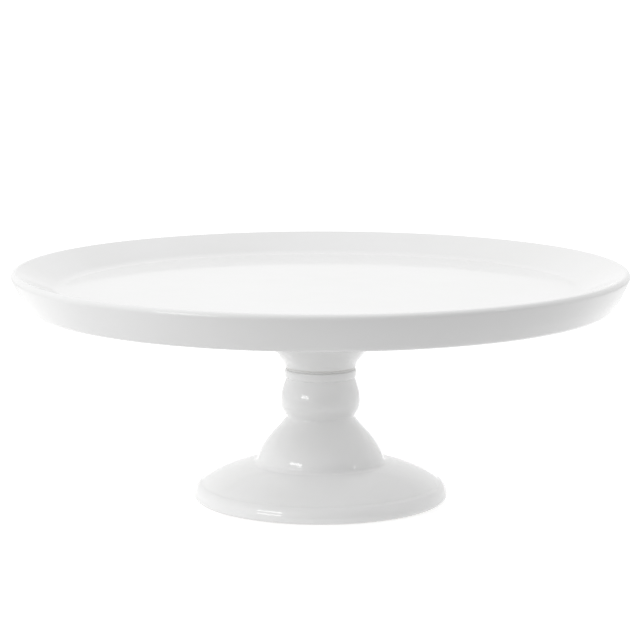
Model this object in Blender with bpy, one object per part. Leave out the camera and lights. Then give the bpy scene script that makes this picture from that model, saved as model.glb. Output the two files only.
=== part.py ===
# Pedestal cake stand: a rimmed porcelain plate clamped on a hollow turned pedestal.
# A stud potted in the plate's boss runs down the stem, and a wing nut under the stem's
# shelf draws the plate onto its seat.
# The origin is on the stem's axis at table level, +Z up.

import math

import bmesh
import bpy
from mathutils import Vector
from mathutils.geometry import interpolate_bezier

mm = 0.001

# Overall sizes.
plate_diameter = 317.5 * mm
stand_height = 120.65 * mm
contact_gap = 0.3 * mm

# Plate: a flat well, a sloping rim band and a leaning outer side.
well_depth = 10.0 * mm
floor_thickness = 6.3 * mm
rim_slope = math.radians(26.5)
side_depth = 18.9 * mm
side_lean = math.radians(27.0)
side_bulge = 0.55 * mm
lip_round = 2.2 * mm
well_corner_round = 16.0 * mm
edge_round = 4.6 * mm
edge_ring_width = 6.0 * mm
edge_ring_height = 7.0 * mm
ring_inner_round = 1.3 * mm
recess_round = 2.4 * mm
recess_width = 11.0 * mm

# Collar under the plate: a hollow trumpet that stands on the pedestal.
collar_height = 35.0 * mm
collar_radius = 18.6 * mm
collar_waist_radius = 23.9 * mm
collar_waist_height = 8.65 * mm
waist_upper_handle = (5.2 * mm, 7.2 * mm)
waist_lower_handle = (2.5 * mm, 3.4 * mm)
throat_height = 2.9 * mm
flare_radius = 66.0 * mm
flare_handle = 24.0 * mm
collar_wall = 6.0 * mm
cavity_throat = 5.0 * mm
cavity_throat_handle = 6.0 * mm
cavity_shoulder = (27.0 * mm, 14.0 * mm)
cavity_radius = 40.0 * mm
cavity_roof = 1.0 * mm
seat_round = 0.9 * mm
boss_radius = 12.5 * mm
boss_length = 20.0 * mm
socket_radius = 8.0 * mm
socket_depth = 16.0 * mm

# Pedestal's stem, from the seat down.
seam_gap = 1.2 * mm
bead_height = 3.8 * mm
bead_drop = 0.7 * mm
knop_radius = 20.6 * mm
knop_rise = 11.75 * mm
knop_fall = 7.6 * mm
neck_radius = 17.9 * mm
stem_bore_radius = 12.8 * mm
shelf_thickness = 8.0 * mm
shelf_round = 2.0 * mm

# Pedestal's bell and foot.
bell_radius = 33.35 * mm
bell_foot_height = 20.15 * mm
bell_shoulder_inset = 4.2 * mm
bell_step_width = 1.5 * mm
bell_step_height = 1.0 * mm
disc_radius = 61.5 * mm
disc_edge_height = 8.9 * mm
disc_top_handle = (9.0 * mm, 1.3 * mm)
disc_edge_handle = (4.8 * mm, 4.1 * mm)
disc_edge_step = 0.3 * mm
foot_radius = 65.8 * mm
foot_belly_height = 2.6 * mm
foot_belly_handle = 2.4 * mm
foot_shoulder_inset = 1.5 * mm
foot_heel_inset = 1.2 * mm
tread_outer_radius = 62.3 * mm
tread_width = 4.0 * mm
pedestal_wall = 5.3 * mm
hollow_tread_handle = 6.0 * mm
hollow_edge_inset = 4.0 * mm
hollow_edge_handle = 8.0 * mm
hollow_bell_handle = (1.8 * mm, 1.3 * mm)
hollow_neck_handle = (2.0 * mm, 0.2 * mm)

# Gasket between the collar and the stem; its edge shows at the bottom of the seam's groove.
gasket_inset = 0.8 * mm
gasket_width = 4.6 * mm

# M6 clamp hardware.
stud_radius = 3.0 * mm
stud_chamfer = 0.6 * mm
stud_overhang = 6.0 * mm
thread_clearance = 0.08 * mm
insert_radius = 5.0 * mm
insert_length = 12.0 * mm
insert_flange_radius = 6.0 * mm
insert_flange_height = 1.2 * mm
insert_chamfer = 0.5 * mm
bush_wall = 1.4 * mm
bush_clearance = 0.3 * mm
bush_flange_radius = 8.0 * mm
bush_flange_height = 1.2 * mm
washer_clearance = 0.3 * mm
rubber_washer_radius = 9.0 * mm
rubber_washer_height = 2.0 * mm
steel_washer_radius = 9.0 * mm
steel_washer_height = 1.6 * mm
spring_washer_radius = 5.9 * mm
spring_washer_height = 1.6 * mm
spring_washer_split = math.radians(12.0)
nut_hub_radius = 6.5 * mm
nut_tip_radius = 5.5 * mm
nut_hub_height = 6.5 * mm
nut_span = 32.0 * mm
nut_height = 16.0 * mm
wing_thickness = 2.6 * mm

# Facets round each turned piece.
plate_sides = 64
pedestal_sides = 48
hardware_sides = 24

# Heights that follow from the sizes above.
plate_radius = plate_diameter / 2
pedestal_height = stand_height - well_depth - floor_thickness - collar_height - seam_gap
plate_seat = pedestal_height + seam_gap
bead_base = pedestal_height - bead_height
knop_top = bead_base - 2 * bead_drop
knop_height = knop_top - knop_rise
neck_height = knop_height - knop_fall
shelf_top = neck_height
shelf_base = shelf_top - shelf_thickness
bush_radius = stud_radius + bush_clearance + bush_wall
boss_base = plate_seat + collar_height - boss_length


def arc(centre, radius, start, end, steps):
    """Points round part of a circle, in (radius, height)."""
    angles = [start + (end - start) * step / steps for step in range(steps + 1)]
    return [(centre[0] + radius * math.cos(a), centre[1] + radius * math.sin(a)) for a in angles]


def curve(start, start_handle, end_handle, end, steps):
    """Points along one Bezier stretch."""
    corners = [Vector((*point, 0)) for point in (start, start_handle, end_handle, end)]
    points = interpolate_bezier(*corners, steps + 1)
    return [(point.x, point.y) for point in points]


def fillet(before, corner, after, radius, steps=3):
    """Points that round one corner of an outline."""
    corner = Vector(corner)
    inward = (Vector(before) - corner).normalized()
    outward = (Vector(after) - corner).normalized()
    half_angle = inward.angle(outward) / 2
    centre = corner + (inward + outward).normalized() * radius / math.sin(half_angle)
    first = corner + inward * radius / math.tan(half_angle) - centre
    last = corner + outward * radius / math.tan(half_angle) - centre
    start = math.atan2(first.y, first.x)
    turn = math.remainder(math.atan2(last.y, last.x) - start, math.tau)
    return arc(centre, radius, start, start + turn, steps)


def material(name, colour, roughness, metallic=0.0):
    """One Principled material for one piece."""
    made = bpy.data.materials.new(name)
    made.use_nodes = True
    shader = made.node_tree.nodes["Principled BSDF"]
    shader.inputs["Base Color"].default_value = (*colour, 1.0)
    shader.inputs["Roughness"].default_value = roughness
    shader.inputs["Metallic"].default_value = metallic
    return made


def finish(bm, name, height, surface):
    """Turn a bmesh into a named object that stands at its own height on the axis."""
    bmesh.ops.remove_doubles(bm, verts=bm.verts, dist=0.001 * mm)
    bmesh.ops.dissolve_degenerate(bm, dist=0.001 * mm, edges=bm.edges)
    bmesh.ops.recalc_face_normals(bm, faces=bm.faces)
    mesh = bpy.data.meshes.new(name)
    bm.to_mesh(mesh)
    bm.free()
    mesh.shade_smooth()
    mesh.set_sharp_from_angle(angle=math.radians(35))
    mesh.materials.append(surface)
    piece = bpy.data.objects.new(name, mesh)
    piece.location.z = height
    bpy.context.collection.objects.link(piece)
    return piece


def turned(name, outline, sides, surface, height=0.0):
    """Turn a closed (radius, height) outline about the axis."""
    bm = bmesh.new()
    verts = [bm.verts.new((radius, 0, z)) for radius, z in outline]
    on_axis = outline[0][0] == 0 and outline[-1][0] == 0
    pairs = zip(verts, verts[1:] if on_axis else verts[1:] + verts[:1])
    edges = [bm.edges.new(pair) for pair in pairs]
    bmesh.ops.spin(
        bm, geom=verts + edges, cent=(0, 0, 0), axis=(0, 0, 1), angle=math.tau, steps=sides, use_merge=True
    )
    return finish(bm, name, height, surface)


def ring(name, inner_radius, outer_radius, height, base, surface, split=0.0, chamfer=0.2 * mm):
    """A flat ring with a broken outer edge, closed or split."""
    outline = [
        (inner_radius, 0),
        (outer_radius - chamfer, 0),
        (outer_radius, chamfer),
        (outer_radius, height - chamfer),
        (outer_radius - chamfer, height),
        (inner_radius, height),
    ]
    if not split:
        return turned(name, outline, hardware_sides, surface, base)
    bm = bmesh.new()
    verts = [bm.verts.new((radius, 0, z)) for radius, z in outline]
    face = bm.faces.new(verts)
    bmesh.ops.spin(
        bm,
        geom=[face],
        cent=(0, 0, 0),
        axis=(0, 0, 1),
        angle=math.tau - split,
        steps=hardware_sides,
    )
    return finish(bm, name, base, surface)


def plate(surface):
    """Rimmed plate, its hollow collar and the boss that holds the stud."""
    rim_top = collar_height + floor_thickness + well_depth
    well = rim_top - well_depth
    underside = well - floor_thickness
    edge = rim_top - side_depth

    lip_centre = (plate_radius - lip_round, rim_top - lip_round)
    lip = arc(lip_centre, lip_round, math.pi / 2 + rim_slope, -side_lean, 6)
    well_radius = lip[0][0] - (lip[0][1] - well) / math.tan(rim_slope)
    edge_radius = lip[-1][0] - (lip[-1][1] - edge) * math.tan(side_lean)
    side_middle = ((lip[-1][0] + edge_radius) / 2 + side_bulge, (lip[-1][1] + edge) / 2)

    ring_inner = (edge_radius - edge_ring_width, edge)
    recess_outer = (ring_inner[0] - ring_inner_round, edge + edge_ring_height)
    recess_inner = (recess_outer[0] - recess_width, underside)

    outline = [(0, well)]
    outline += fillet((0, well), (well_radius, well), lip[0], well_corner_round)
    outline += lip + [side_middle]
    outline += fillet(side_middle, (edge_radius, edge), ring_inner, edge_round)
    outline += fillet((edge_radius, edge), ring_inner, recess_outer, ring_inner_round, 2)
    outline += fillet(ring_inner, recess_outer, recess_inner, recess_round, 2)
    outline += [recess_inner]

    waist = (collar_waist_radius, collar_waist_height)
    waist_above = (waist[0] + waist_upper_handle[0], waist[1] + waist_upper_handle[1])
    waist_below = (waist[0] - waist_lower_handle[0], waist[1] - waist_lower_handle[1])
    flare_in = (flare_radius - flare_handle, underside)
    outline += curve((flare_radius, underside), flare_in, waist_above, waist, 7)
    outline += curve(waist, waist_below, (collar_radius, throat_height), (collar_radius, seat_round), 4)[1:]
    outline += [(collar_radius - seat_round, 0)]

    mouth_radius = collar_radius - collar_wall
    ceiling = underside - cavity_roof
    boss_end = underside - boss_length
    outline += [(mouth_radius + seat_round, 0), (mouth_radius, seat_round)]
    outline += curve(
        (mouth_radius, cavity_throat),
        (mouth_radius, cavity_throat + cavity_throat_handle),
        (cavity_shoulder[0], ceiling - cavity_shoulder[1]),
        (cavity_radius, ceiling),
        5,
    )
    outline += [(boss_radius, ceiling), (boss_radius, boss_end)]
    outline += [(socket_radius, boss_end), (socket_radius, boss_end + socket_depth)]
    outline += [(0, boss_end + socket_depth)]
    return turned("plate", outline, plate_sides, surface, plate_seat)


def stem_outline():
    """The pedestal's outside from its seat down to the neck."""
    knop_foot = (neck_radius, neck_height)
    outline = [(collar_radius - seat_round, pedestal_height), (collar_radius, pedestal_height - seat_round)]
    outline += [(collar_radius, bead_base + seat_round), (collar_radius - bead_drop, bead_base - bead_drop)]
    outline += curve(
        (collar_radius - bead_drop, knop_top),
        (collar_radius - bead_drop, knop_top - 1.5 * mm),
        (knop_radius, knop_height + knop_rise / 2),
        (knop_radius, knop_height),
        5,
    )
    outline += curve(
        (knop_radius, knop_height),
        (knop_radius, knop_height - knop_fall * 0.52),
        (neck_radius, neck_height + knop_fall / 3),
        knop_foot,
        4,
    )[1:]
    return outline


def foot_outline():
    """The pedestal's outside from the neck down to its tread."""
    bell_height = neck_height - bell_foot_height
    bell_foot = (bell_radius, bell_foot_height)
    disc_top = (bell_radius + bell_step_width, bell_foot_height - bell_step_height)
    disc_edge = (disc_radius, disc_edge_height)
    outline = curve(
        (neck_radius, neck_height),
        (neck_radius, neck_height - bell_height * 0.2),
        (bell_radius - bell_shoulder_inset, bell_foot_height + bell_height * 0.57),
        bell_foot,
        9,
    )[1:]
    outline += curve(
        disc_top,
        (disc_top[0] + disc_top_handle[0], disc_top[1] - disc_top_handle[1]),
        (disc_radius - disc_edge_handle[0], disc_edge_height + disc_edge_handle[1]),
        disc_edge,
        5,
    )
    outline += curve(
        (disc_radius + disc_edge_step, disc_edge_height - disc_edge_step),
        (foot_radius - foot_shoulder_inset, disc_edge_height - 2 * disc_edge_step),
        (foot_radius, foot_belly_height + foot_belly_handle),
        (foot_radius, foot_belly_height),
        4,
    )
    outline += curve(
        (foot_radius, foot_belly_height),
        (foot_radius, foot_belly_height * 0.35),
        (foot_radius - foot_heel_inset, 0),
        (tread_outer_radius, 0),
        3,
    )[1:]
    return outline


def pedestal(surface):
    """Hollow pedestal: a bored stem above the shelf and an open bell below it."""
    tread_inner = (tread_outer_radius - tread_width, 0)
    under_edge = (disc_radius - pedestal_wall, disc_edge_height - pedestal_wall)
    hollow_edge = (bell_radius - pedestal_wall + hollow_edge_inset, bell_foot_height - 1.15 * pedestal_wall)
    hollow_foot = (bell_radius - pedestal_wall, bell_foot_height - pedestal_wall / 2)
    hole_radius = bush_radius + bush_clearance

    outline = stem_outline() + foot_outline()
    outline += [tread_inner]
    outline += curve(
        (tread_inner[0] - 0.8 * mm, under_edge[1]),
        (tread_inner[0] - hollow_tread_handle, under_edge[1] + hollow_tread_handle),
        (hollow_edge[0] + hollow_edge_handle, hollow_edge[1]),
        hollow_edge,
        4,
    )
    outline += curve(
        hollow_foot,
        (hollow_foot[0] - hollow_bell_handle[0], (hollow_foot[1] + shelf_base) / 2 + hollow_bell_handle[1]),
        (neck_radius + hollow_neck_handle[0], shelf_base - hollow_neck_handle[1]),
        (stem_bore_radius, shelf_base),
        6,
    )
    outline += [(hole_radius, shelf_base), (hole_radius, shelf_top)]
    mouth = (stem_bore_radius, pedestal_height)
    outline += fillet((hole_radius, shelf_top), (stem_bore_radius, shelf_top), mouth, shelf_round, 2)
    outline += [(stem_bore_radius, pedestal_height - seat_round)]
    outline += [(stem_bore_radius + seat_round, pedestal_height)]
    return turned("pedestal", outline, pedestal_sides, surface)


def insert_cement(surface):
    """Potting that fills the boss's socket round the insert."""
    outer = socket_radius - contact_gap
    inner = insert_radius + contact_gap
    length = socket_depth - contact_gap
    roof = insert_length + contact_gap
    step = insert_flange_height + contact_gap
    flange = insert_flange_radius + contact_gap
    outline = [(0, length), (outer, length), (outer, 0), (flange, 0), (flange, step), (inner, step)]
    outline += [(inner, roof), (0, roof)]
    return turned("insert_cement", outline, hardware_sides, surface, boss_base)


def threaded_insert(surface):
    """Flanged brass insert, open right through."""
    bore = stud_radius + thread_clearance
    lead = insert_chamfer
    outline = [(bore, insert_length), (insert_radius - lead, insert_length)]
    outline += [(insert_radius, insert_length - lead), (insert_radius, insert_flange_height)]
    outline += [(insert_flange_radius, insert_flange_height)]
    outline += [(insert_flange_radius, 0), (bore + lead, 0), (bore, lead)]
    return turned("threaded_insert", outline, hardware_sides, surface, boss_base)


def stud(bottom, surface):
    """Fully threaded rod from the insert down past the nut; its thread is its outer size."""
    length = boss_base + insert_length - contact_gap - bottom
    neck = stud_radius - stud_chamfer
    outline = [(0, 0), (neck, 0), (stud_radius, stud_chamfer), (stud_radius, length - stud_chamfer)]
    outline += [(neck, length), (0, length)]
    return turned("stud", outline, hardware_sides, surface, bottom)


def centring_bush(surface):
    """Flanged bush that keeps the stud in the middle of the shelf's hole."""
    bore = stud_radius + bush_clearance
    base = bush_flange_height
    length = shelf_thickness - contact_gap
    outline = [(bore, base), (bush_flange_radius, base), (bush_flange_radius, 0), (bush_radius, 0)]
    outline += [(bush_radius, -length), (bore, -length)]
    return turned("centring_bush", outline, hardware_sides, surface, shelf_top + contact_gap)


def wing_outline():
    """Both wings in one outline, in (sideways, height) below the nut's upper face."""
    half = nut_span / 2
    root = -nut_hub_height
    right = curve(
        (nut_tip_radius, -1.2 * mm),
        (half * 0.62, -1.5 * mm),
        (half, -nut_height * 0.3),
        (half, -nut_height * 0.68),
        5,
    )
    right += curve(
        (half, -nut_height * 0.68),
        (half, -nut_height * 1.06),
        (half * 0.55, -nut_height * 1.08),
        (half * 0.52, -nut_height * 0.72),
        6,
    )[1:]
    right += [(nut_tip_radius * 0.8, root + 0.5 * mm)]
    left = [(-x, z) for x, z in reversed(right)]
    return right + left


def wing_nut(top, surface):
    """Wing nut: a tapered hub, two wings and a through bore."""
    bore_radius = stud_radius + thread_clearance
    hub = turned(
        "wing_nut",
        [(0, 0), (nut_hub_radius, 0), (nut_tip_radius, -nut_hub_height), (0, -nut_hub_height)],
        hardware_sides,
        surface,
        top,
    )

    bm = bmesh.new()
    front = bm.faces.new([bm.verts.new((x, -wing_thickness / 2, z)) for x, z in wing_outline()])
    pushed = bmesh.ops.extrude_face_region(bm, geom=[front])
    back = [item for item in pushed["geom"] if isinstance(item, bmesh.types.BMVert)]
    bmesh.ops.translate(bm, verts=back, vec=(0, wing_thickness, 0))
    wings = finish(bm, "wings_guide", top, surface)

    past = 1 * mm
    bore = turned(
        "bore_guide",
        [(0, past), (bore_radius, past), (bore_radius, -nut_hub_height - past), (0, -nut_hub_height - past)],
        hardware_sides,
        surface,
        top,
    )
    for tool, operation in ((wings, "UNION"), (bore, "DIFFERENCE")):
        tool.hide_render = True
        tool.display_type = "WIRE"
        cut = hub.modifiers.new(tool.name, "BOOLEAN")
        cut.operation = operation
        cut.solver = "EXACT"
        cut.object = tool
    return hub


def clamp_stack():
    """The shelf's washers and the wing nut, each hung from the one above it."""
    rubber = material("black_rubber", (0.03, 0.03, 0.03), 0.75)
    steel = material("zinc_plated_steel", (0.62, 0.63, 0.65), 0.32, 1.0)
    spring = material("spring_steel", (0.45, 0.46, 0.48), 0.38, 1.0)
    cast = material("nickel_plated_zinc", (0.66, 0.66, 0.65), 0.3, 1.0)
    bore = stud_radius + washer_clearance

    level = shelf_base - contact_gap - rubber_washer_height
    ring("rubber_washer", bore, rubber_washer_radius, rubber_washer_height, level, rubber)
    level -= contact_gap + steel_washer_height
    ring("steel_washer", bore, steel_washer_radius, steel_washer_height, level, steel)
    level -= contact_gap + spring_washer_height
    outer = spring_washer_radius
    ring("spring_washer", bore, outer, spring_washer_height, level, spring, spring_washer_split)
    level -= contact_gap
    wing_nut(level, cast)
    stud(level - nut_hub_height - stud_overhang, material("threaded_steel", (0.58, 0.59, 0.61), 0.35, 1.0))


def build():
    """Clear the scene and model every piece of the stand."""
    for leftover in list(bpy.data.objects):
        bpy.data.objects.remove(leftover, do_unlink=True)

    plate(material("plate_glaze", (0.9, 0.9, 0.89), 0.08))
    pedestal(material("pedestal_glaze", (0.9, 0.9, 0.89), 0.08))
    insert_cement(material("grey_epoxy", (0.36, 0.36, 0.35), 0.6))
    threaded_insert(material("insert_brass", (0.78, 0.6, 0.28), 0.28, 1.0))
    centring_bush(material("white_nylon", (0.82, 0.81, 0.78), 0.45))

    gasket_outer = collar_radius - gasket_inset
    gasket_inner = gasket_outer - gasket_width
    gasket_height = seam_gap - 2 * contact_gap
    gasket_base = pedestal_height + contact_gap
    silicone = material("clear_silicone", (0.78, 0.78, 0.76), 0.5)
    ring("seat_gasket", gasket_inner, gasket_outer, gasket_height, gasket_base, silicone, chamfer=0.1 * mm)

    clamp_stack()


build()
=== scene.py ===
# Porcelain cake stand: a rimmed plate on a turned pedestal, clamped by a stud and a wing nut.
# The fine surfaces are turned and cast here round the fixed frame; lengths are in metres.

import math

import bmesh
import bpy
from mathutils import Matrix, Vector
from mathutils.geometry import interpolate_bezier


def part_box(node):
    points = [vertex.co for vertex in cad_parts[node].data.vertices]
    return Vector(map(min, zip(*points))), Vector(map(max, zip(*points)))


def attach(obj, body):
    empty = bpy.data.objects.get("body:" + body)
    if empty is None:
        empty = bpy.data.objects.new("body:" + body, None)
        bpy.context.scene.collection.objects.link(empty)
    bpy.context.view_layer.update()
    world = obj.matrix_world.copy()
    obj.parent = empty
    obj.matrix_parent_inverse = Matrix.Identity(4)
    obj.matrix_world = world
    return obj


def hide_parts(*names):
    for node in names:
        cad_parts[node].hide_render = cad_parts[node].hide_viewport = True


mm = 0.001

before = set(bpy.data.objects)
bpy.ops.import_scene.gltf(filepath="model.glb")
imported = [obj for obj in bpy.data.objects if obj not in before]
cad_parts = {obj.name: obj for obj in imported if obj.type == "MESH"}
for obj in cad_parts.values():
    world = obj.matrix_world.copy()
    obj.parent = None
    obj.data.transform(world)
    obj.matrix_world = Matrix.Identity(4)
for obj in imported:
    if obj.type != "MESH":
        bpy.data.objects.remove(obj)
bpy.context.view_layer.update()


def arcPoints(centre, radius, start, end, steps):
    turns = [start + (end - start) * step / steps for step in range(steps + 1)]
    return [(centre[0] + radius * math.cos(t), centre[1] + radius * math.sin(t)) for t in turns]


def bezierPoints(start, startHandle, endHandle, end, steps):
    corners = [Vector((*point, 0)) for point in (start, startHandle, endHandle, end)]
    return [(point.x, point.y) for point in interpolate_bezier(*corners, steps + 1)]


def filletPoints(before, corner, after, radius, steps=8):
    corner = Vector(corner)
    inward = (Vector(before) - corner).normalized()
    outward = (Vector(after) - corner).normalized()
    halfAngle = inward.angle(outward) / 2
    centre = corner + (inward + outward).normalized() * radius / math.sin(halfAngle)
    first = corner + inward * radius / math.tan(halfAngle) - centre
    last = corner + outward * radius / math.tan(halfAngle) - centre
    start = math.atan2(first.y, first.x)
    turn = math.remainder(math.atan2(last.y, last.x) - start, math.tau)
    return arcPoints(centre, radius, start, start + turn, steps)


def roundedOutline(corners, steps=5):
    # each corner is (radius, height, rounding); a rounding of 0 keeps the corner as it is
    outline = []
    for index, (radius, height, rounding) in enumerate(corners):
        if not rounding:
            outline.append((radius, height))
            continue
        before = corners[index - 1][:2]
        after = corners[(index + 1) % len(corners)][:2]
        outline += filletPoints(before, (radius, height), after, rounding, steps)
    return outline


def makePiece(bm, name, material, sharpAngle=None):
    bmesh.ops.remove_doubles(bm, verts=bm.verts, dist=0.002 * mm)
    bmesh.ops.dissolve_degenerate(bm, dist=0.001 * mm, edges=bm.edges)
    bmesh.ops.recalc_face_normals(bm, faces=bm.faces)
    mesh = bpy.data.meshes.new(name)
    bm.to_mesh(mesh)
    bm.free()
    mesh.shade_smooth()
    if sharpAngle:
        mesh.set_sharp_from_angle(angle=math.radians(sharpAngle))
    mesh.materials.append(material)
    piece = bpy.data.objects.new(name, mesh)
    bpy.context.scene.collection.objects.link(piece)
    return piece


def turnOutline(outline, steps):
    # outline is closed, in (radius, height); one that starts and ends on the axis needs no closing edge
    bm = bmesh.new()
    verts = [bm.verts.new((radius, 0, height)) for radius, height in outline]
    onAxis = outline[0][0] == 0 and outline[-1][0] == 0
    pairs = zip(verts, verts[1:] if onAxis else verts[1:] + verts[:1])
    edges = [bm.edges.new(pair) for pair in pairs]
    bmesh.ops.spin(
        bm, geom=verts + edges, cent=(0, 0, 0), axis=(0, 0, 1), angle=math.tau, steps=steps, use_merge=True
    )
    return bm


def register(piece, body, node):
    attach(piece, body)
    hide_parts(node)
    return piece


def newMaterial(name, colour, roughness, metallic=0.0):
    material = bpy.data.materials.new(name)
    material.use_nodes = True
    nodes, links = material.node_tree.nodes, material.node_tree.links
    shader = nodes["Principled BSDF"]
    shader.inputs["Base Color"].default_value = (*colour, 1)
    shader.inputs["Roughness"].default_value = roughness
    shader.inputs["Metallic"].default_value = metallic
    return material, nodes, links, shader


def addNode(nodes, kind, **inputs):
    node = nodes.new(kind)
    for key, value in inputs.items():
        node.inputs[key.replace("_", " ")].default_value = value
    return node


def addRamp(nodes, links, source, low, high, lowColour, highColour):
    ramp = nodes.new("ShaderNodeValToRGB")
    ends = ramp.color_ramp.elements
    ends[0].position, ends[1].position = low, high
    ends[0].color, ends[1].color = (*lowColour, 1), (*highColour, 1)
    links.new(source, ramp.inputs["Fac"])
    return ramp.outputs["Color"]


def addRange(nodes, links, source, fromRange, toRange, smooth=False):
    low, high = fromRange
    start, end = toRange
    span = addNode(nodes, "ShaderNodeMapRange", From_Min=low, From_Max=high, To_Min=start, To_Max=end)
    if smooth:
        span.interpolation_type = "SMOOTHSTEP"
    links.new(source, span.inputs["Value"])
    return span.outputs["Result"]


def addBump(nodes, links, source, distance, below=None):
    bump = addNode(nodes, "ShaderNodeBump", Strength=1.0, Distance=distance)
    links.new(source, bump.inputs["Height"])
    if below:
        links.new(below, bump.inputs["Normal"])
    return bump.outputs["Normal"]


def mixColour(nodes, links, factor, first, second):
    mix = nodes.new("ShaderNodeMix")
    mix.data_type = "RGBA"
    links.new(factor, mix.inputs["Factor"])
    for value, socket in ((first, mix.inputs["A"]), (second, mix.inputs["B"])):
        if isinstance(value, tuple):
            socket.default_value = (*value, 1)
        else:
            links.new(value, socket)
    return mix.outputs["Result"]


def grainMaterial(look):
    # broad patches tint the surface, fine grain roughens and dents it
    material, nodes, links, shader = newMaterial(
        look["name"], look["light"], look["roughness"][1], look.get("metallic", 0.0)
    )
    place = nodes.new("ShaderNodeTexCoord")
    stretch = addNode(nodes, "ShaderNodeMapping", Scale=look.get("stretch", (1, 1, 1)))
    links.new(place.outputs["Object"], stretch.inputs["Vector"])
    patches = addNode(nodes, "ShaderNodeTexNoise", Scale=look["patch"], Detail=4.0)
    grain = addNode(nodes, "ShaderNodeTexNoise", Scale=look["grain"], Detail=6.0, Roughness=0.65)
    links.new(place.outputs["Object"], patches.inputs["Vector"])
    links.new(stretch.outputs["Vector"], grain.inputs["Vector"])
    colour = addRamp(nodes, links, patches.outputs["Fac"], 0.3, 0.7, look["dark"], look["light"])
    rough = addRange(nodes, links, grain.outputs["Fac"], (0.3, 0.7), look["roughness"])
    normal = addBump(nodes, links, grain.outputs["Fac"], look["bump"])
    links.new(colour, shader.inputs["Base Color"])
    links.new(rough, shader.inputs["Roughness"])
    links.new(normal, shader.inputs["Normal"])
    if "scatter" in look:
        weight, depth = look["scatter"]
        shader.inputs["Subsurface Weight"].default_value = weight
        shader.inputs["Subsurface Radius"].default_value = depth
    return material


glaze = {
    "colour": (0.86, 0.86, 0.86),
    "thin": (0.835, 0.835, 0.83),
    "fleck": (0.70, 0.68, 0.64),
    "roughness": (0.05, 0.09),
    "ior": 1.5,
    "bisque": (0.74, 0.725, 0.70),
    "bisqueGrain": (0.66, 0.64, 0.61),
    "bisqueRoughness": 0.8,
    "edgeBlur": 0.12 * mm,
    "cloudScale": 16.0,
    "fleckScale": 95.0,
    "fleckSize": (0.012, 0.022),
    "fleckDepth": 0.35,
    "gritScale": 2600.0,
    "gritDepth": 0.05 * mm,
    "wanderScale": 160.0,
    "shineScale": 40.0,
    "rippleScale": 60.0,
    "rippleDepth": 0.02 * mm,
}


def porcelain(name, bareBelow):
    # the ring below bareBelow stood on the kiln shelf, so its glaze was wiped off before firing
    material, nodes, links, shader = newMaterial(name, glaze["colour"], glaze["roughness"][0])
    shader.inputs["IOR"].default_value = glaze["ior"]
    place = nodes.new("ShaderNodeTexCoord").outputs["Object"]

    clouds = addNode(nodes, "ShaderNodeTexNoise", Scale=glaze["cloudScale"], Detail=3.0)
    links.new(place, clouds.inputs["Vector"])
    tint = addRamp(nodes, links, clouds.outputs["Fac"], 0.25, 0.6, glaze["thin"], glaze["colour"])

    flecks = addNode(nodes, "ShaderNodeTexVoronoi", Scale=glaze["fleckScale"], Randomness=1.0)
    links.new(place, flecks.inputs["Vector"])
    strength = (glaze["fleckDepth"], 0.0)
    speck = addRange(nodes, links, flecks.outputs["Distance"], glaze["fleckSize"], strength)
    tint = mixColour(nodes, links, speck, tint, glaze["fleck"])

    grit = addNode(nodes, "ShaderNodeTexNoise", Scale=glaze["gritScale"], Detail=4.0)
    links.new(place, grit.inputs["Vector"])
    bisque = addRamp(nodes, links, grit.outputs["Fac"], 0.3, 0.7, glaze["bisqueGrain"], glaze["bisque"])

    height = nodes.new("ShaderNodeSeparateXYZ")
    links.new(place, height.inputs[0])
    wander = addNode(nodes, "ShaderNodeTexNoise", Scale=glaze["wanderScale"], Detail=2.0)
    links.new(place, wander.inputs["Vector"])
    blur = glaze["edgeBlur"]
    shift = addRange(nodes, links, wander.outputs["Fac"], (0, 1), (-blur, blur))
    level = nodes.new("ShaderNodeMath")
    links.new(height.outputs["Z"], level.inputs[0])
    links.new(shift, level.inputs[1])
    limits = (bareBelow - blur, bareBelow + blur)
    bare = addRange(nodes, links, level.outputs[0], limits, (1, 0), smooth=True)
    links.new(mixColour(nodes, links, bare, tint, bisque), shader.inputs["Base Color"])

    shine = addNode(nodes, "ShaderNodeTexNoise", Scale=glaze["shineScale"], Detail=2.0)
    links.new(place, shine.inputs["Vector"])
    glossy = addRange(nodes, links, shine.outputs["Fac"], (0.3, 0.7), glaze["roughness"])
    rough = nodes.new("ShaderNodeMath")
    rough.operation = "MAXIMUM"
    dull = addRange(nodes, links, bare, (0, 1), (0, glaze["bisqueRoughness"]))
    links.new(glossy, rough.inputs[0])
    links.new(dull, rough.inputs[1])
    links.new(rough.outputs[0], shader.inputs["Roughness"])

    ripple = addNode(nodes, "ShaderNodeTexNoise", Scale=glaze["rippleScale"], Detail=1.0)
    links.new(place, ripple.inputs["Vector"])
    normal = addBump(nodes, links, ripple.outputs["Fac"], glaze["rippleDepth"])
    sandy = nodes.new("ShaderNodeMath")
    sandy.operation = "MULTIPLY"
    links.new(grit.outputs["Fac"], sandy.inputs[0])
    links.new(bare, sandy.inputs[1])
    normal = addBump(nodes, links, sandy.outputs[0], glaze["gritDepth"], normal)
    links.new(normal, shader.inputs["Normal"])
    return material


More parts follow.
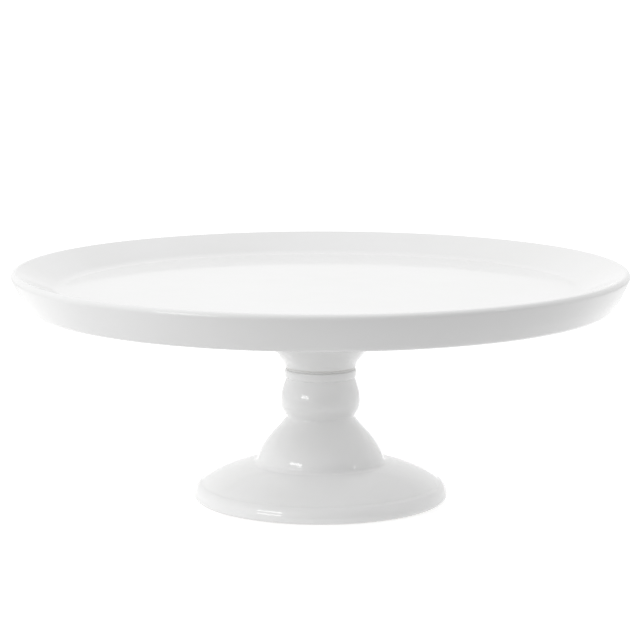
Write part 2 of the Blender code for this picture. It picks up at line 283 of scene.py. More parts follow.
plateDims = {
    "wellDepth": 10.0 * mm,
    "floor": 6.3 * mm,
    "rimSlope": math.radians(26.5),
    "sideDepth": 18.9 * mm,
    "sideLean": math.radians(27.0),
    "sideBulge": 0.55 * mm,
    "sideRound": 50 * mm,
    "lipRound": 2.2 * mm,
    "lipShare": 0.8,
    "wellRound": 16.0 * mm,
    "edgeRound": 4.6 * mm,
    "ringWidth": 6.0 * mm,
    "ringHeight": 7.0 * mm,
    "ringInnerRound": 1.3 * mm,
    "recessRound": 2.4 * mm,
    "recessWidth": 11.0 * mm,
    "collarRadius": 18.6 * mm,
    "waistRadius": 23.9 * mm,
    "waistRise": 8.65 * mm,
    "waistAbove": (5.2 * mm, 7.2 * mm),
    "waistBelow": (2.5 * mm, 3.4 * mm),
    "throat": 2.9 * mm,
    "flareRadius": 66.0 * mm,
    "flareHandle": 24.0 * mm,
    "flareRound": 10 * mm,
    "collarWall": 6.0 * mm,
    "cavityThroat": 5 * mm,
    "cavityThroatHandle": 6 * mm,
    "cavityShoulder": (27 * mm, 14 * mm),
    "cavityRadius": 40.0 * mm,
    "cavityRoof": 1.0 * mm,
    "cavityRound": 3 * mm,
    "seatRound": 0.9 * mm,
    "bossRadius": 12.5 * mm,
    "bossLength": 20.0 * mm,
    "bossRound": 1 * mm,
    "socketRadius": 8.0 * mm,
    "socketDepth": 16.0 * mm,
    "socketRound": 0.4 * mm,
    "bareRise": 0.3 * mm,
    "steps": 256,
}


def plateOutline():
    d = plateDims
    low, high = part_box("plate")
    plateRadius, rimTop, seat = high.x, high.z, low.z
    well = rimTop - d["wellDepth"]
    underside = well - d["floor"]
    edge = rimTop - d["sideDepth"]

    lipCentre = (plateRadius - d["lipRound"], rimTop - d["lipRound"])
    lipStart, lipEnd = math.pi / 2 + d["rimSlope"], -d["sideLean"] * d["lipShare"]
    lip = arcPoints(lipCentre, d["lipRound"], lipStart, lipEnd, 18)
    wellRadius = lip[0][0] - (lip[0][1] - well) / math.tan(d["rimSlope"])
    lipFoot = rimTop - d["lipRound"] * (1 + math.sin(d["sideLean"]))
    edgeRadius = plateRadius - d["lipRound"] * (1 - math.cos(d["sideLean"]))
    edgeRadius -= (lipFoot - edge) * math.tan(d["sideLean"])
    sideMiddle = ((lip[-1][0] + edgeRadius) / 2 + d["sideBulge"], (lip[-1][1] + edge) / 2)

    ringInner = (edgeRadius - d["ringWidth"], edge)
    recessOuter = (ringInner[0] - d["ringInnerRound"], edge + d["ringHeight"])
    recessInner = (recessOuter[0] - d["recessWidth"], underside)

    outline = [(0, well)]
    outline += filletPoints((0, well), (wellRadius, well), lip[0], d["wellRound"], 12)
    outline += lip
    outline += filletPoints(lip[-1], sideMiddle, (edgeRadius, edge), d["sideRound"], 6)
    outline += filletPoints(sideMiddle, (edgeRadius, edge), ringInner, d["edgeRound"], 12)
    outline += filletPoints((edgeRadius, edge), ringInner, recessOuter, d["ringInnerRound"], 6)
    outline += filletPoints(ringInner, recessOuter, recessInner, d["recessRound"], 8)
    outline += filletPoints(recessOuter, recessInner, (d["flareRadius"], underside), d["flareRound"], 6)

    waist = (d["waistRadius"], seat + d["waistRise"])
    outline += bezierPoints(
        (d["flareRadius"], underside),
        (d["flareRadius"] - d["flareHandle"], underside),
        (waist[0] + d["waistAbove"][0], waist[1] + d["waistAbove"][1]),
        waist,
        26,
    )
    outline += bezierPoints(
        waist,
        (waist[0] - d["waistBelow"][0], waist[1] - d["waistBelow"][1]),
        (d["collarRadius"], seat + d["throat"]),
        (d["collarRadius"], seat + d["seatRound"]),
        12,
    )[1:]
    corner = (d["collarRadius"] - d["seatRound"], seat + d["seatRound"])
    outline += arcPoints(corner, d["seatRound"], 0, -math.pi / 2, 8)[1:]

    mouth = d["collarRadius"] - d["collarWall"]
    corner = (mouth + d["seatRound"], seat + d["seatRound"])
    outline += arcPoints(corner, d["seatRound"], -math.pi / 2, -math.pi, 6)
    ceiling = underside - d["cavityRoof"]
    bossEnd = underside - d["bossLength"]
    throatTop = seat + d["cavityThroat"]
    outline += bezierPoints(
        (mouth, throatTop),
        (mouth, throatTop + d["cavityThroatHandle"]),
        (d["cavityShoulder"][0], ceiling - d["cavityShoulder"][1]),
        (d["cavityRadius"], ceiling),
        14,
    )
    boss, socket, socketEnd = d["bossRadius"], d["socketRadius"], bossEnd + d["socketDepth"]
    outline += filletPoints(
        (d["cavityRadius"], ceiling), (boss, ceiling), (boss, bossEnd), d["cavityRound"], 6
    )
    outline += filletPoints((boss, ceiling), (boss, bossEnd), (socket, bossEnd), d["bossRound"], 4)
    outline += filletPoints((boss, bossEnd), (socket, bossEnd), (socket, socketEnd), d["socketRound"], 3)
    outline += [(socket, socketEnd), (0, socketEnd)]
    return outline


def makePlate():
    material = porcelain("plateGlaze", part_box("plate")[0].z + plateDims["bareRise"])
    plate = makePiece(turnOutline(plateOutline(), plateDims["steps"]), "porcelain_plate", material, 50)
    register(plate, "stand", "plate")


pedestalDims = {
    "seatRound": 0.9 * mm,
    "collarRadius": 18.6 * mm,
    "beadHeight": 3.8 * mm,
    "beadDrop": 0.7 * mm,
    "creaseInset": 0.2 * mm,
    "creaseHandle": (1.5 * mm, 4.4 * mm),
    "knopRadius": 20.6 * mm,
    "knopRise": 11.75 * mm,
    "knopRiseShare": 0.42,
    "knopFall": 7.6 * mm,
    "knopFallShare": 0.52,
    "neckRadius": 17.9 * mm,
    "neckInset": 0.1 * mm,
    "neckHandle": 0.5 * mm,
    "boreRadius": 12.8 * mm,
    "shelf": 8.0 * mm,
    "shelfRound": 2 * mm,
    "holeRadius": 5.0 * mm,
    "holeRound": 0.6 * mm,
    "bellRadius": 33.35 * mm,
    "bellFoot": 20.15 * mm,
    "bellNeckHandle": (0.35 * mm, 0.18),
    "bellShoulder": (4.2 * mm, 0.57),
    "bellStep": (1.5 * mm, 1.0 * mm),
    "discRadius": 61.5 * mm,
    "discEdge": 8.9 * mm,
    "discTopHandle": (9 * mm, 1.3 * mm),
    "discEdgeHandle": (4.8 * mm, 4.1 * mm),
    "discEdgeStep": 0.3 * mm,
    "footShoulder": (1.5 * mm, 0.6 * mm),
    "belly": 2.6 * mm,
    "bellyHandle": 2.4 * mm,
    "heel": 1.2 * mm,
    "heelShare": 0.35,
    "treadOuter": 62.3 * mm,
    "treadWidth": 4.0 * mm,
    "treadRound": 1 * mm,
    "wall": 5.3 * mm,
    "hollowTreadInset": 1.2 * mm,
    "hollowTreadHandle": 6 * mm,
    "hollowEdgeInset": 4 * mm,
    "hollowEdgeDrop": 1.15,
    "hollowEdgeHandle": 8 * mm,
    "hollowBellHandle": (1.8 * mm, 1.3 * mm),
    "hollowNeckHandle": (2 * mm, 0.2 * mm),
    "bareRise": 0.35 * mm,
    "steps": 224,
}


def pedestalOutline():
    d = pedestalDims
    low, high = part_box("pedestal")
    footRadius, seat = high.x, high.z
    collar, neck, knop, bore = d["collarRadius"], d["neckRadius"], d["knopRadius"], d["boreRadius"]
    beadBase = seat - d["beadHeight"]
    knopTop = beadBase - 2 * d["beadDrop"]
    knopHeight = knopTop - d["knopRise"]
    neckHeight = knopHeight - d["knopFall"]
    shelfBase = neckHeight - d["shelf"]

    outline = arcPoints((collar - d["seatRound"], seat - d["seatRound"]), d["seatRound"], math.pi / 2, 0, 8)
    crease = (collar - d["beadDrop"] - d["creaseInset"], beadBase - d["beadDrop"])
    outline += filletPoints((collar, seat), (collar, beadBase), crease, d["seatRound"], 6)
    outline += bezierPoints(
        crease,
        (crease[0] + d["creaseHandle"][0], crease[1] - d["creaseHandle"][1]),
        (knop, knopHeight + d["knopRise"] * d["knopRiseShare"]),
        (knop, knopHeight),
        20,
    )
    outline += bezierPoints(
        (knop, knopHeight),
        (knop, knopHeight - d["knopFall"] * d["knopFallShare"]),
        (neck + d["neckHandle"], neckHeight + d["knopFall"] / 4),
        (neck - d["neckInset"], neckHeight),
        14,
    )[1:]
    bellHeight = neckHeight - d["bellFoot"]
    outline += bezierPoints(
        (neck - d["neckInset"], neckHeight),
        (neck + d["bellNeckHandle"][0], neckHeight - bellHeight * d["bellNeckHandle"][1]),
        (d["bellRadius"] - d["bellShoulder"][0], d["bellFoot"] + bellHeight * d["bellShoulder"][1]),
        (d["bellRadius"], d["bellFoot"]),
        34,
    )[1:]
    discTop = (d["bellRadius"] + d["bellStep"][0], d["bellFoot"] - d["bellStep"][1])
    outline += bezierPoints(
        discTop,
        (discTop[0] + d["discTopHandle"][0], discTop[1] - d["discTopHandle"][1]),
        (d["discRadius"] - d["discEdgeHandle"][0], d["discEdge"] + d["discEdgeHandle"][1]),
        (d["discRadius"], d["discEdge"]),
        22,
    )
    outline += bezierPoints(
        (d["discRadius"] + d["discEdgeStep"], d["discEdge"] - d["discEdgeStep"]),
        (footRadius - d["footShoulder"][0], d["discEdge"] - d["footShoulder"][1]),
        (footRadius, d["belly"] + d["bellyHandle"]),
        (footRadius, d["belly"]),
        12,
    )
    outline += bezierPoints(
        (footRadius, d["belly"]),
        (footRadius, d["belly"] * d["heelShare"]),
        (footRadius - d["heel"], 0),
        (d["treadOuter"], 0),
        10,
    )[1:]

    treadInner = d["treadOuter"] - d["treadWidth"]
    underEdge = (d["discRadius"] - d["wall"], d["discEdge"] - d["wall"])
    hollowEdge = (
        d["bellRadius"] - d["wall"] + d["hollowEdgeInset"],
        d["bellFoot"] - d["hollowEdgeDrop"] * d["wall"],
    )
    hollowFoot = (d["bellRadius"] - d["wall"], d["bellFoot"] - d["wall"] / 2)
    outline += arcPoints((treadInner, d["treadRound"]), d["treadRound"], -math.pi / 2, -math.pi, 5)
    outline += bezierPoints(
        (treadInner - d["hollowTreadInset"], underEdge[1]),
        (treadInner - d["hollowTreadHandle"], underEdge[1] + d["hollowTreadHandle"]),
        (hollowEdge[0] + d["hollowEdgeHandle"], hollowEdge[1]),
        hollowEdge,
        14,
    )
    bellHandle, neckHandle = d["hollowBellHandle"], d["hollowNeckHandle"]
    outline += bezierPoints(
        hollowFoot,
        (hollowFoot[0] - bellHandle[0], (hollowFoot[1] + shelfBase) / 2 + bellHandle[1]),
        (neck + neckHandle[0], shelfBase - neckHandle[1]),
        (bore, shelfBase),
        18,
    )
    hole = d["holeRadius"]
    outline += filletPoints((bore, shelfBase), (hole, shelfBase), (hole, neckHeight), d["holeRound"], 3)
    outline += filletPoints((hole, shelfBase), (hole, neckHeight), (bore, neckHeight), d["holeRound"], 3)
    outline += filletPoints((hole, neckHeight), (bore, neckHeight), (bore, seat), d["shelfRound"], 6)
    corner = (bore + d["seatRound"], seat - d["seatRound"])
    outline += arcPoints(corner, d["seatRound"], math.pi, math.pi / 2, 6)
    return outline


def makePedestal():
    material = porcelain("pedestalGlaze", pedestalDims["bareRise"])
    turned = turnOutline(pedestalOutline(), pedestalDims["steps"])
    pedestal = makePiece(turned, "porcelain_pedestal", material, 40)
    register(pedestal, "stand", "pedestal")


gasketDims = {"width": 4.6 * mm, "squash": 0.29 * mm, "bulge": 0.12 * mm, "handle": 0.2 * mm, "steps": 160}

siliconeLook = {
    "name": "whiteSilicone",
    "dark": (0.72, 0.72, 0.71),
    "light": (0.78, 0.78, 0.77),
    "roughness": (0.42, 0.6),
    "patch": 120.0,
    "grain": 2200.0,
    "bump": 0.01 * mm,
    "scatter": (0.25, (1.2 * mm, 1.2 * mm, 1.1 * mm)),
}


def makeGasket():
    d = gasketDims
    low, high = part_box("seat_gasket")
    outer, bottom, top = high.x, low.z - d["squash"], high.z + d["squash"]
    inner = outer - d["width"]
    bulge, dent = outer + d["bulge"], inner - d["bulge"]
    lower, upper = bottom + d["handle"], top - d["handle"]
    outline = bezierPoints((outer, bottom), (bulge, lower), (bulge, upper), (outer, top), 8)
    outline += bezierPoints((inner, top), (dent, upper), (dent, lower), (inner, bottom), 6)
    material = grainMaterial(siliconeLook)
    gasket = makePiece(turnOutline(outline, d["steps"]), "silicone_gasket", material, 60)
    register(gasket, "stand", "seat_gasket")


cementDims = {
    "insertRadius": 5.02 * mm,
    "flangeRadius": 6.02 * mm,
    "step": 1.22 * mm,
    "roof": 12.3 * mm,
    "wallGap": 0.02 * mm,
    "wallRise": 0.1 * mm,
    "flangeRise": 0.2 * mm,
    "sink": (0.5 * mm, 0.715 * mm),
    "steps": 96,
}

cementLook = {
    "name": "greyEpoxy",
    "dark": (0.27, 0.27, 0.26),
    "light": (0.40, 0.395, 0.38),
    "roughness": (0.35, 0.7),
    "patch": 420.0,
    "grain": 1900.0,
    "bump": 0.06 * mm,
}


def makeCement():
    d = cementDims
    low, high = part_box("insert_cement")
    wall, flange, base = plateDims["socketRadius"] - d["wallGap"], d["flangeRadius"], low.z
    inset, rise = d["sink"]
    outline = [(0, high.z), (wall, high.z)]
    outline += bezierPoints(
        (wall, base + d["wallRise"]),
        (wall - inset, base + rise),
        (flange + inset, base + rise),
        (flange, base + d["flangeRise"]),
        12,
    )
    outline += [(flange, base + d["step"]), (d["insertRadius"], base + d["step"])]
    outline += [(d["insertRadius"], base + d["roof"]), (0, base + d["roof"])]
    material = grainMaterial(cementLook)
    cement = makePiece(turnOutline(outline, d["steps"]), "epoxy_potting", material, 50)
    register(cement, "stand", "insert_cement")


insertDims = {
    "radius": 4.95 * mm,
    "knurl": 0.3 * mm,
    "flange": 1.2 * mm,
    "undercut": (0.4 * mm, 0.6 * mm),
    "bore": 3.08 * mm,
    "lead": 0.7 * mm,
    "ridges": 48,
}

brassLook = {
    "name": "turnedBrass",
    "dark": (0.62, 0.42, 0.15),
    "light": (0.80, 0.60, 0.27),
    "roughness": (0.2, 0.36),
    "metallic": 1.0,
    "patch": 260.0,
    "grain": 2600.0,
    "stretch": (1, 1, 0.15),
    "bump": 0.008 * mm,
}


def makeInsert():
    d = insertDims
    low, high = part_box("threaded_insert")
    flangeRadius, base, top = high.x, low.z, high.z
    outline = roundedOutline([
        (d["bore"], top - d["lead"], 0),
        (d["bore"] + d["lead"], top, 0),
        (d["radius"], top, 0.3 * mm),
        (d["radius"], base + d["flange"] + d["undercut"][1], 0),
        (d["radius"] - d["undercut"][0], base + d["flange"], 0),
        (flangeRadius, base + d["flange"], 0.2 * mm),
        (flangeRadius, base, 0.25 * mm),
        (d["bore"] + d["lead"], base, 0.1 * mm),
        (d["bore"], base + d["lead"], 0),
    ], 3)
    bm = turnOutline(outline, 2 * d["ridges"])
    for vert in bm.verts:
        radius = math.hypot(vert.co.x, vert.co.y)
        ridge = round(math.atan2(vert.co.y, vert.co.x) / math.pi * d["ridges"])
        knurled = radius > d["radius"] - 0.1 * mm and vert.co.z > base + d["flange"] + 0.3 * mm
        if knurled and ridge % 2:
            vert.co.xy *= (radius - d["knurl"]) / radius
    material = grainMaterial(brassLook)
    insert = makePiece(bm, "brass_insert", material, 30)
    register(insert, "stand", "threaded_insert")


studDims = {
    "pitch": 1.0 * mm,
    "root": 2.46 * mm,
    "crest": 0.06 * mm,
    "valley": 0.12 * mm,
    "chamfer": 0.75 * mm,
    "rootDarkening": 0.55,
    "rootColour": (0.16, 0.155, 0.15),
    "steps": 32,
}

studLook = {
    "name": "zincThread",
    "dark": (0.42, 0.43, 0.45),
    "light": (0.66, 0.67, 0.69),
    "roughness": (0.24, 0.42),
    "metallic": 1.0,
    "patch": 180.0,
    "grain": 2400.0,
    "bump": 0.012 * mm,
}


def makeStud():
    # one pitch of thread is swept up the rod, then both ends are cut square
    d = studDims
    low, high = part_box("stud")
    crestRadius, length = high.x, high.z - low.z
    half = d["pitch"] / 2
    start = low.z - d["pitch"]
    profile = [(d["root"], -half), (d["root"], -half + d["valley"] / 2), (crestRadius, -d["crest"])]
    profile += [(crestRadius, d["crest"]), (d["root"], half - d["valley"] / 2), (d["root"], half)]
    turns = math.ceil(length / d["pitch"]) + 2
    bm = bmesh.new()
    verts = [bm.verts.new((radius, 0, start + height)) for radius, height in profile]
    edges = [bm.edges.new(pair) for pair in zip(verts, verts[1:])]
    bmesh.ops.spin(
        bm, geom=verts + edges, cent=(0, 0, 0), axis=(0, 0, 1), dvec=(0, 0, d["pitch"] / d["steps"]),
        angle=math.tau * turns, steps=turns * d["steps"],
    )
    bmesh.ops.remove_doubles(bm, verts=bm.verts, dist=0.01 * mm)
    for height, side in ((low.z, -1), (high.z, 1)):
        geometry = bm.verts[:] + bm.edges[:] + bm.faces[:]
        cut = bmesh.ops.bisect_plane(
            bm, geom=geometry, plane_co=(0, 0, height), plane_no=(0, 0, side), clear_outer=True
        )
        rim = [item for item in cut["geom_cut"] if isinstance(item, bmesh.types.BMEdge)]
        bmesh.ops.holes_fill(bm, edges=rim, sides=0)
    for vert in bm.verts:
        radius = math.hypot(vert.co.x, vert.co.y)
        room = min(vert.co.z - low.z, high.z - vert.co.z)
        limit = crestRadius - d["chamfer"] + room
        if radius > limit:
            vert.co.xy *= limit / radius
    material = grainMaterial(studLook)
    nodes, links = material.node_tree.nodes, material.node_tree.links
    shader = nodes["Principled BSDF"]
    place = nodes.new("ShaderNodeTexCoord")
    flat = nodes.new("ShaderNodeVectorMath")
    flat.operation = "MULTIPLY"
    flat.inputs[1].default_value = (1, 1, 0)
    links.new(place.outputs["Object"], flat.inputs[0])
    reach = nodes.new("ShaderNodeVectorMath")
    reach.operation = "LENGTH"
    links.new(flat.outputs[0], reach.inputs[0])
    # the base colour is darkened towards the thread root, most at the root and none near the crest
    flank = (d["root"], crestRadius - 0.1 * mm)
    rootDarkening = addRange(nodes, links, reach.outputs["Value"], flank, (d["rootDarkening"], 0.0))
    bright = shader.inputs["Base Color"].links[0].from_socket
    darkened = mixColour(nodes, links, rootDarkening, bright, d["rootColour"])
    links.new(darkened, shader.inputs["Base Color"])
    rod = makePiece(bm, "threaded_stud", material, 35)
    register(rod, "stand", "stud")


bushDims = {"bore": 3.3 * mm, "barrel": 4.7 * mm, "flange": 1.2 * mm, "round": 0.35 * mm, "steps": 96}

nylonLook = {
    "name": "whiteNylon",
    "dark": (0.76, 0.745, 0.70),
    "light": (0.84, 0.83, 0.80),
    "roughness": (0.36, 0.5),
    "patch": 240.0,
    "grain": 3000.0,
    "bump": 0.01 * mm,
    "scatter": (0.2, (0.8 * mm, 0.8 * mm, 0.7 * mm)),
}


def makeBush():
    d = bushDims
    low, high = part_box("centring_bush")
    under = high.z - d["flange"]
    outline = roundedOutline([
        (d["bore"], high.z, d["round"]),
        (high.x, high.z, d["round"]),
        (high.x, under, 0.2 * mm),
        (d["barrel"], under, 0),
        (d["barrel"], low.z, d["round"]),
        (d["bore"], low.z, d["round"]),
    ], 4)
    material = grainMaterial(nylonLook)
    bush = makePiece(turnOutline(outline, d["steps"]), "nylon_bush", material, 50)
    register(bush, "stand", "centring_bush")


rubberDims = {"bore": 3.3 * mm, "bulge": 0.25 * mm, "round": 0.4 * mm, "steps": 128}

rubberLook = {
    "name": "blackRubber",
    "dark": (0.022, 0.022, 0.022),
    "light": (0.045, 0.044, 0.042),
    "roughness": (0.55, 0.8),
    "patch": 200.0,
    "grain": 1800.0,
    "bump": 0.03 * mm,
}


def makeRubberWasher():
    d = rubberDims
    low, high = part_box("rubber_washer")
    middle = (low.z + high.z) / 2
    outline = roundedOutline([
        (d["bore"], low.z, d["round"]),
        (high.x, low.z, d["round"]),
        (high.x + d["bulge"], middle, 0.8 * mm),
        (high.x, high.z, d["round"]),
        (d["bore"], high.z, d["round"]),
    ], 5)
    material = grainMaterial(rubberLook)
    washer = makePiece(turnOutline(outline, d["steps"]), "rubber_cushion", material, 60)
    register(washer, "washer_stack", "rubber_washer")


washerDims = {"bore": 3.3 * mm, "rolled": 0.45 * mm, "burr": 0.08 * mm, "steps": 128}

zincLook = {
    "name": "zincPlate",
    "dark": (0.50, 0.51, 0.53),
    "light": (0.68, 0.69, 0.71),
    "roughness": (0.26, 0.45),
    "metallic": 1.0,
    "patch": 320.0,
    "grain": 1500.0,
    "stretch": (1, 0.12, 1),
    "bump": 0.012 * mm,
}


def makeSteelWasher():
    # the punch rolls the upper edges and leaves the lower ones nearly sharp
    d = washerDims
    low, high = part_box("steel_washer")
    outline = roundedOutline([
        (d["bore"], low.z, d["burr"]),
        (high.x, low.z, d["burr"]),
        (high.x, high.z, d["rolled"]),
        (d["bore"], high.z, d["rolled"]),
    ], 4)
    material = grainMaterial(zincLook)
    washer = makePiece(turnOutline(outline, d["steps"]), "steel_disc", material, 50)
    register(washer, "washer_stack", "steel_washer")


springDims = {
    "bore": 3.3 * mm,
    "round": 0.2 * mm,
    "split": math.radians(12),
    "rise": 0.24 * mm,
    "steps": 96,
}

springLook = {
    "name": "springSteel",
    "dark": (0.26, 0.265, 0.28),
    "light": (0.48, 0.49, 0.51),
    "roughness": (0.28, 0.46),
    "metallic": 1.0,
    "patch": 380.0,
    "grain": 2000.0,
    "bump": 0.015 * mm,
}


def makeSpringWasher():
    # the ends are set a little apart in height, so the washer bites when it is pulled flat
    d = springDims
    low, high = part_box("spring_washer")
    base, top = low.z, high.z - d["rise"]
    outline = roundedOutline([
        (d["bore"], base, d["round"]),
        (high.x, base, d["round"]),
        (high.x, top, d["round"]),
        (d["bore"], top, d["round"]),
    ], 3)
    bm = bmesh.new()
    face = bm.faces.new([bm.verts.new((radius, 0, height)) for radius, height in outline])
    bmesh.ops.spin(
        bm, geom=[face], cent=(0, 0, 0), axis=(0, 0, 1), dvec=(0, 0, d["rise"] / d["steps"]),
        angle=math.tau - d["split"], steps=d["steps"],
    )
    material = grainMaterial(springLook)
    washer = makePiece(bm, "split_washer", material, 50)
    register(washer, "washer_stack", "spring_washer")


nutDims = {
    "hubRadius": 6.5 * mm,
    "tipRadius": 5.5 * mm,
    "hubHeight": 6.5 * mm,
    "hubRound": (0.5 * mm, 0.8 * mm),
    "bore": 3.08 * mm,
    "countersink": 0.7 * mm,
    "height": 16.0 * mm,
    "wing": 2.6 * mm,
    "voxel": 0.28 * mm,
    "softening": 6,
}

castLook = {
    "name": "nickelCasting",
    "dark": (0.52, 0.52, 0.505),
    "light": (0.72, 0.715, 0.70),
    "roughness": (0.24, 0.44),
    "metallic": 1.0,
    "patch": 210.0,
    "grain": 1300.0,
    "bump": 0.035 * mm,
}


def wingOutline(half):
    # both wings, in (sideways, height) below the nut's upper face
    d = nutDims
    height = d["height"]
    tip = (half, -height * 0.68)
    right = bezierPoints(
        (d["tipRadius"], -1.2 * mm), (half * 0.62, -1.5 * mm), (half, -height * 0.3), tip, 14
    )
    right += bezierPoints(
        tip, (half, -height * 1.06), (half * 0.55, -height * 1.08), (half * 0.52, -height * 0.72), 18
    )[1:]
    right += [(d["tipRadius"] * 0.8, -d["hubHeight"] + 0.5 * mm)]
    return right + [(-x, z) for x, z in reversed(right)]


def cutWith(piece, tool, operation):
    change = piece.modifiers.new(operation, "BOOLEAN")
    change.operation = operation
    change.solver = "EXACT"
    change.object = tool


def applyAll(piece):
    # swaps the piece's mesh for its finished shape and drops the modifiers
    view = bpy.context.evaluated_depsgraph_get()
    finished = bpy.data.meshes.new_from_object(piece.evaluated_get(view))
    piece.modifiers.clear()
    piece.data = finished


def makeWingNut():
    d = nutDims
    low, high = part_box("wing_nut")
    top, half = high.z, high.x
    end = top - d["hubHeight"]
    material = grainMaterial(castLook)

    hub = roundedOutline([
        (d["hubRadius"], top, d["hubRound"][0]),
        (d["tipRadius"], end, d["hubRound"][1]),
        (0, end, 0),
        (0, top, 0),
    ], 4)
    nut = makePiece(turnOutline(hub[-1:] + hub[:-1], 96), "cast_wing_nut", material)

    bm = bmesh.new()
    front = bm.faces.new([bm.verts.new((x, -d["wing"] / 2, top + z)) for x, z in wingOutline(half)])
    pushed = bmesh.ops.extrude_face_region(bm, geom=[front])
    back = [item for item in pushed["geom"] if isinstance(item, bmesh.types.BMVert)]
    bmesh.ops.translate(bm, verts=back, vec=(0, d["wing"], 0))
    wings = makePiece(bm, "wings_tool", material)

    cutWith(nut, wings, "UNION")
    remesh = nut.modifiers.new("cast", "REMESH")
    remesh.mode = "VOXEL"
    remesh.voxel_size = d["voxel"]
    soften = nut.modifiers.new("soften", "SMOOTH")
    soften.factor = 0.5
    soften.iterations = d["softening"]
    applyAll(nut)

    past = 1 * mm
    wide = d["bore"] + d["countersink"]
    bore = [(0, top + past), (wide + past, top + past), (d["bore"], top - d["countersink"])]
    bore += [(d["bore"], end + d["countersink"]), (wide + past, end - past), (0, end - past)]
    drill = makePiece(turnOutline(bore, 64), "drill_tool", material)
    cutWith(nut, drill, "DIFFERENCE")
    applyAll(nut)
    for tool in (wings, drill):
        bpy.data.objects.remove(tool, do_unlink=True)
    nut.data.shade_smooth()
    nut.data.set_sharp_from_angle(angle=math.radians(40))
    register(nut, "wing_nut", "wing_nut")


cameraDims = {
    "distance": 1350 * mm,
    "aboveRim": 184.0 * mm,
    "pitch": math.radians(8.888),
    "lens": 148.53,
    "sideways": -0.3 * mm,
}

studio = {
    "floorSize": 30.0,
    "floorColour": 0.3,
    "floorGlow": (0.6, 0.19),
    "floorFade": (-0.2, -0.3),
    "floorBehind": (0.0, 0.4),
    "floorRise": (-0.08, 0.12),
    "floorReach": (0.3, 0.75),
    "floorFar": 0.6,
    "seenColour": 0.82,
    "seenGlow": 0.40,
    "skySeen": 1.1,
    "skyBright": 1.28,
    "skyDim": 0.12,
    "dimTurn": math.radians(20),
    "dimRise": math.radians(2),
    "dimReach": (0.42, 1.0),
    "reach": 1.5,
    "aimHeight": 60 * mm,
    "keyTurn": math.radians(-50),
    "keyRise": math.radians(30),
    "keySize": (0.62, 0.18),
    "keyRadiance": 6.0,
    "windowTurn": math.radians(-47),
    "windowRise": math.radians(12),
    "windowSize": (0.6, 0.2),
    "windowRadiance": 5.5,
    "sideTurn": math.radians(66),
    "sideRise": math.radians(20),
    "sideSize": (0.09, 0.09),
    "sideRadiance": 12.0,
}


def towards(turn, rise):
    # a direction from the stand; turn 0 faces the camera and grows to its right
    level = math.cos(rise)
    return Vector((math.sin(turn) * level, -math.cos(turn) * level, math.sin(rise)))


def makeCamera():
    d = cameraDims
    data = bpy.data.cameras.new("studioCamera")
    data.lens = d["lens"]
    data.sensor_width = 36
    data.clip_start = 0.05
    camera = bpy.data.objects.new("studioCamera", data)
    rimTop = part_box("plate")[1].z
    camera.location = (d["sideways"], -d["distance"], rimTop + d["aboveRim"])
    camera.rotation_euler = (math.pi / 2 - d["pitch"], 0, 0)
    bpy.context.scene.collection.objects.link(camera)
    bpy.context.scene.camera = camera


def makeFloor():
    bm = bmesh.new()
    bmesh.ops.create_grid(bm, x_segments=1, y_segments=1, size=studio["floorSize"] / 2)
    bmesh.ops.translate(bm, verts=bm.verts, vec=(0, 0, -0.02 * mm))
    lit, shown = (studio["floorColour"],) * 3, (studio["seenColour"],) * 3
    material, nodes, links, shader = newMaterial("tableTop", lit, 0.9)
    shader.inputs["Specular IOR Level"].default_value = 0.0
    shader.inputs["Emission Color"].default_value = (1, 1, 1, 1)
    place = nodes.new("ShaderNodeTexCoord")
    split = nodes.new("ShaderNodeSeparateXYZ")
    links.new(place.outputs["Object"], split.inputs[0])
    # painted light: for rays other than the camera's the table top glows, brighter under and behind the
    # stand and dimmer in front and far off, lighting the stand from below; the camera sees an even glow
    # over a diffuse white instead
    depth = split.outputs["Y"]
    glow = addRange(nodes, links, depth, studio["floorFade"], studio["floorGlow"], smooth=True)
    behind = addRange(nodes, links, depth, studio["floorRise"], studio["floorBehind"], smooth=True)
    near = nodes.new("ShaderNodeMath")
    links.new(glow, near.inputs[0])
    links.new(behind, near.inputs[1])
    away = nodes.new("ShaderNodeVectorMath")
    away.operation = "LENGTH"
    links.new(place.outputs["Object"], away.inputs[0])
    dimming = (1.0, studio["floorFar"])
    fade = addRange(nodes, links, away.outputs["Value"], studio["floorReach"], dimming, smooth=True)
    whole = nodes.new("ShaderNodeMath")
    whole.operation = "MULTIPLY"
    links.new(near.outputs[0], whole.inputs[0])
    links.new(fade, whole.inputs[1])
    rays = nodes.new("ShaderNodeLightPath")
    seen = nodes.new("ShaderNodeMix")
    seen.inputs["B"].default_value = studio["seenGlow"]
    links.new(rays.outputs["Is Camera Ray"], seen.inputs["Factor"])
    colour = mixColour(nodes, links, rays.outputs["Is Camera Ray"], lit, shown)
    links.new(colour, shader.inputs["Base Color"])
    links.new(whole.outputs[0], seen.inputs["A"])
    links.new(seen.outputs["Result"], shader.inputs["Emission Strength"])
    floor = makePiece(bm, "table_top", material)


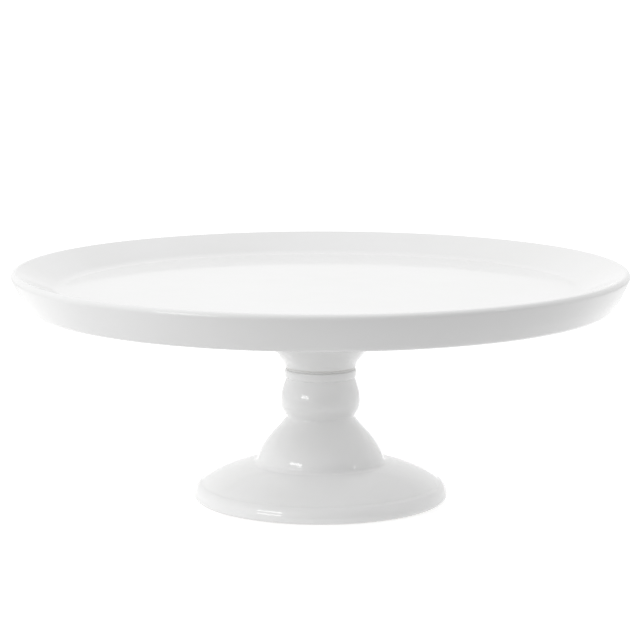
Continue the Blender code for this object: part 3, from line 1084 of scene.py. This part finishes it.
def makeWorld():
    # a white tent, open and dimmer on the camera's side
    world = bpy.data.worlds.new("tent")
    bpy.context.scene.world = world
    world.use_nodes = True
    nodes, links = world.node_tree.nodes, world.node_tree.links
    nodes.clear()
    place = nodes.new("ShaderNodeTexCoord")
    facing = nodes.new("ShaderNodeVectorMath")
    facing.operation = "DOT_PRODUCT"
    facing.inputs[1].default_value = towards(studio["dimTurn"], studio["dimRise"])
    links.new(place.outputs["Generated"], facing.inputs[0])
    dimming = (studio["skyBright"], studio["skyDim"])
    strength = addRange(nodes, links, facing.outputs["Value"], studio["dimReach"], dimming, smooth=True)
    tent = nodes.new("ShaderNodeBackground")
    links.new(strength, tent.inputs["Strength"])
    white = addNode(nodes, "ShaderNodeBackground", Strength=studio["skySeen"])
    rays = nodes.new("ShaderNodeLightPath")
    mix = nodes.new("ShaderNodeMixShader")
    links.new(rays.outputs["Is Camera Ray"], mix.inputs["Fac"])
    links.new(tent.outputs[0], mix.inputs[1])
    links.new(white.outputs[0], mix.inputs[2])
    out = nodes.new("ShaderNodeOutputWorld")
    links.new(mix.outputs[0], out.inputs["Surface"])


def areaLight(name, turn, rise, size, radiance):
    data = bpy.data.lights.new(name, "AREA")
    data.shape = "RECTANGLE"
    data.size, data.size_y = size
    data.energy = radiance * math.pi * size[0] * size[1]
    lamp = bpy.data.objects.new(name, data)
    away = towards(turn, rise)
    lamp.location = Vector((0, 0, studio["aimHeight"])) + away * studio["reach"]
    lamp.rotation_euler = away.to_track_quat("Z", "Y").to_euler()
    bpy.context.scene.collection.objects.link(lamp)


def makeLights():
    for lamp in ("key", "window", "side"):
        areaLight(lamp, *(studio[lamp + part] for part in ("Turn", "Rise", "Size", "Radiance")))


makeCamera()
makeFloor()
makeWorld()
makeLights()
bpy.context.scene.view_settings.view_transform = "Standard"
print("studio set")
makePlate()
print("plate turned")
makePedestal()
makeGasket()
print("pedestal and gasket turned")
makeCement()
makeInsert()
makeStud()
print("insert and stud set in the boss")
makeBush()
makeRubberWasher()
makeSteelWasher()
makeSpringWasher()
makeWingNut()
print("clamp stacked under the shelf")
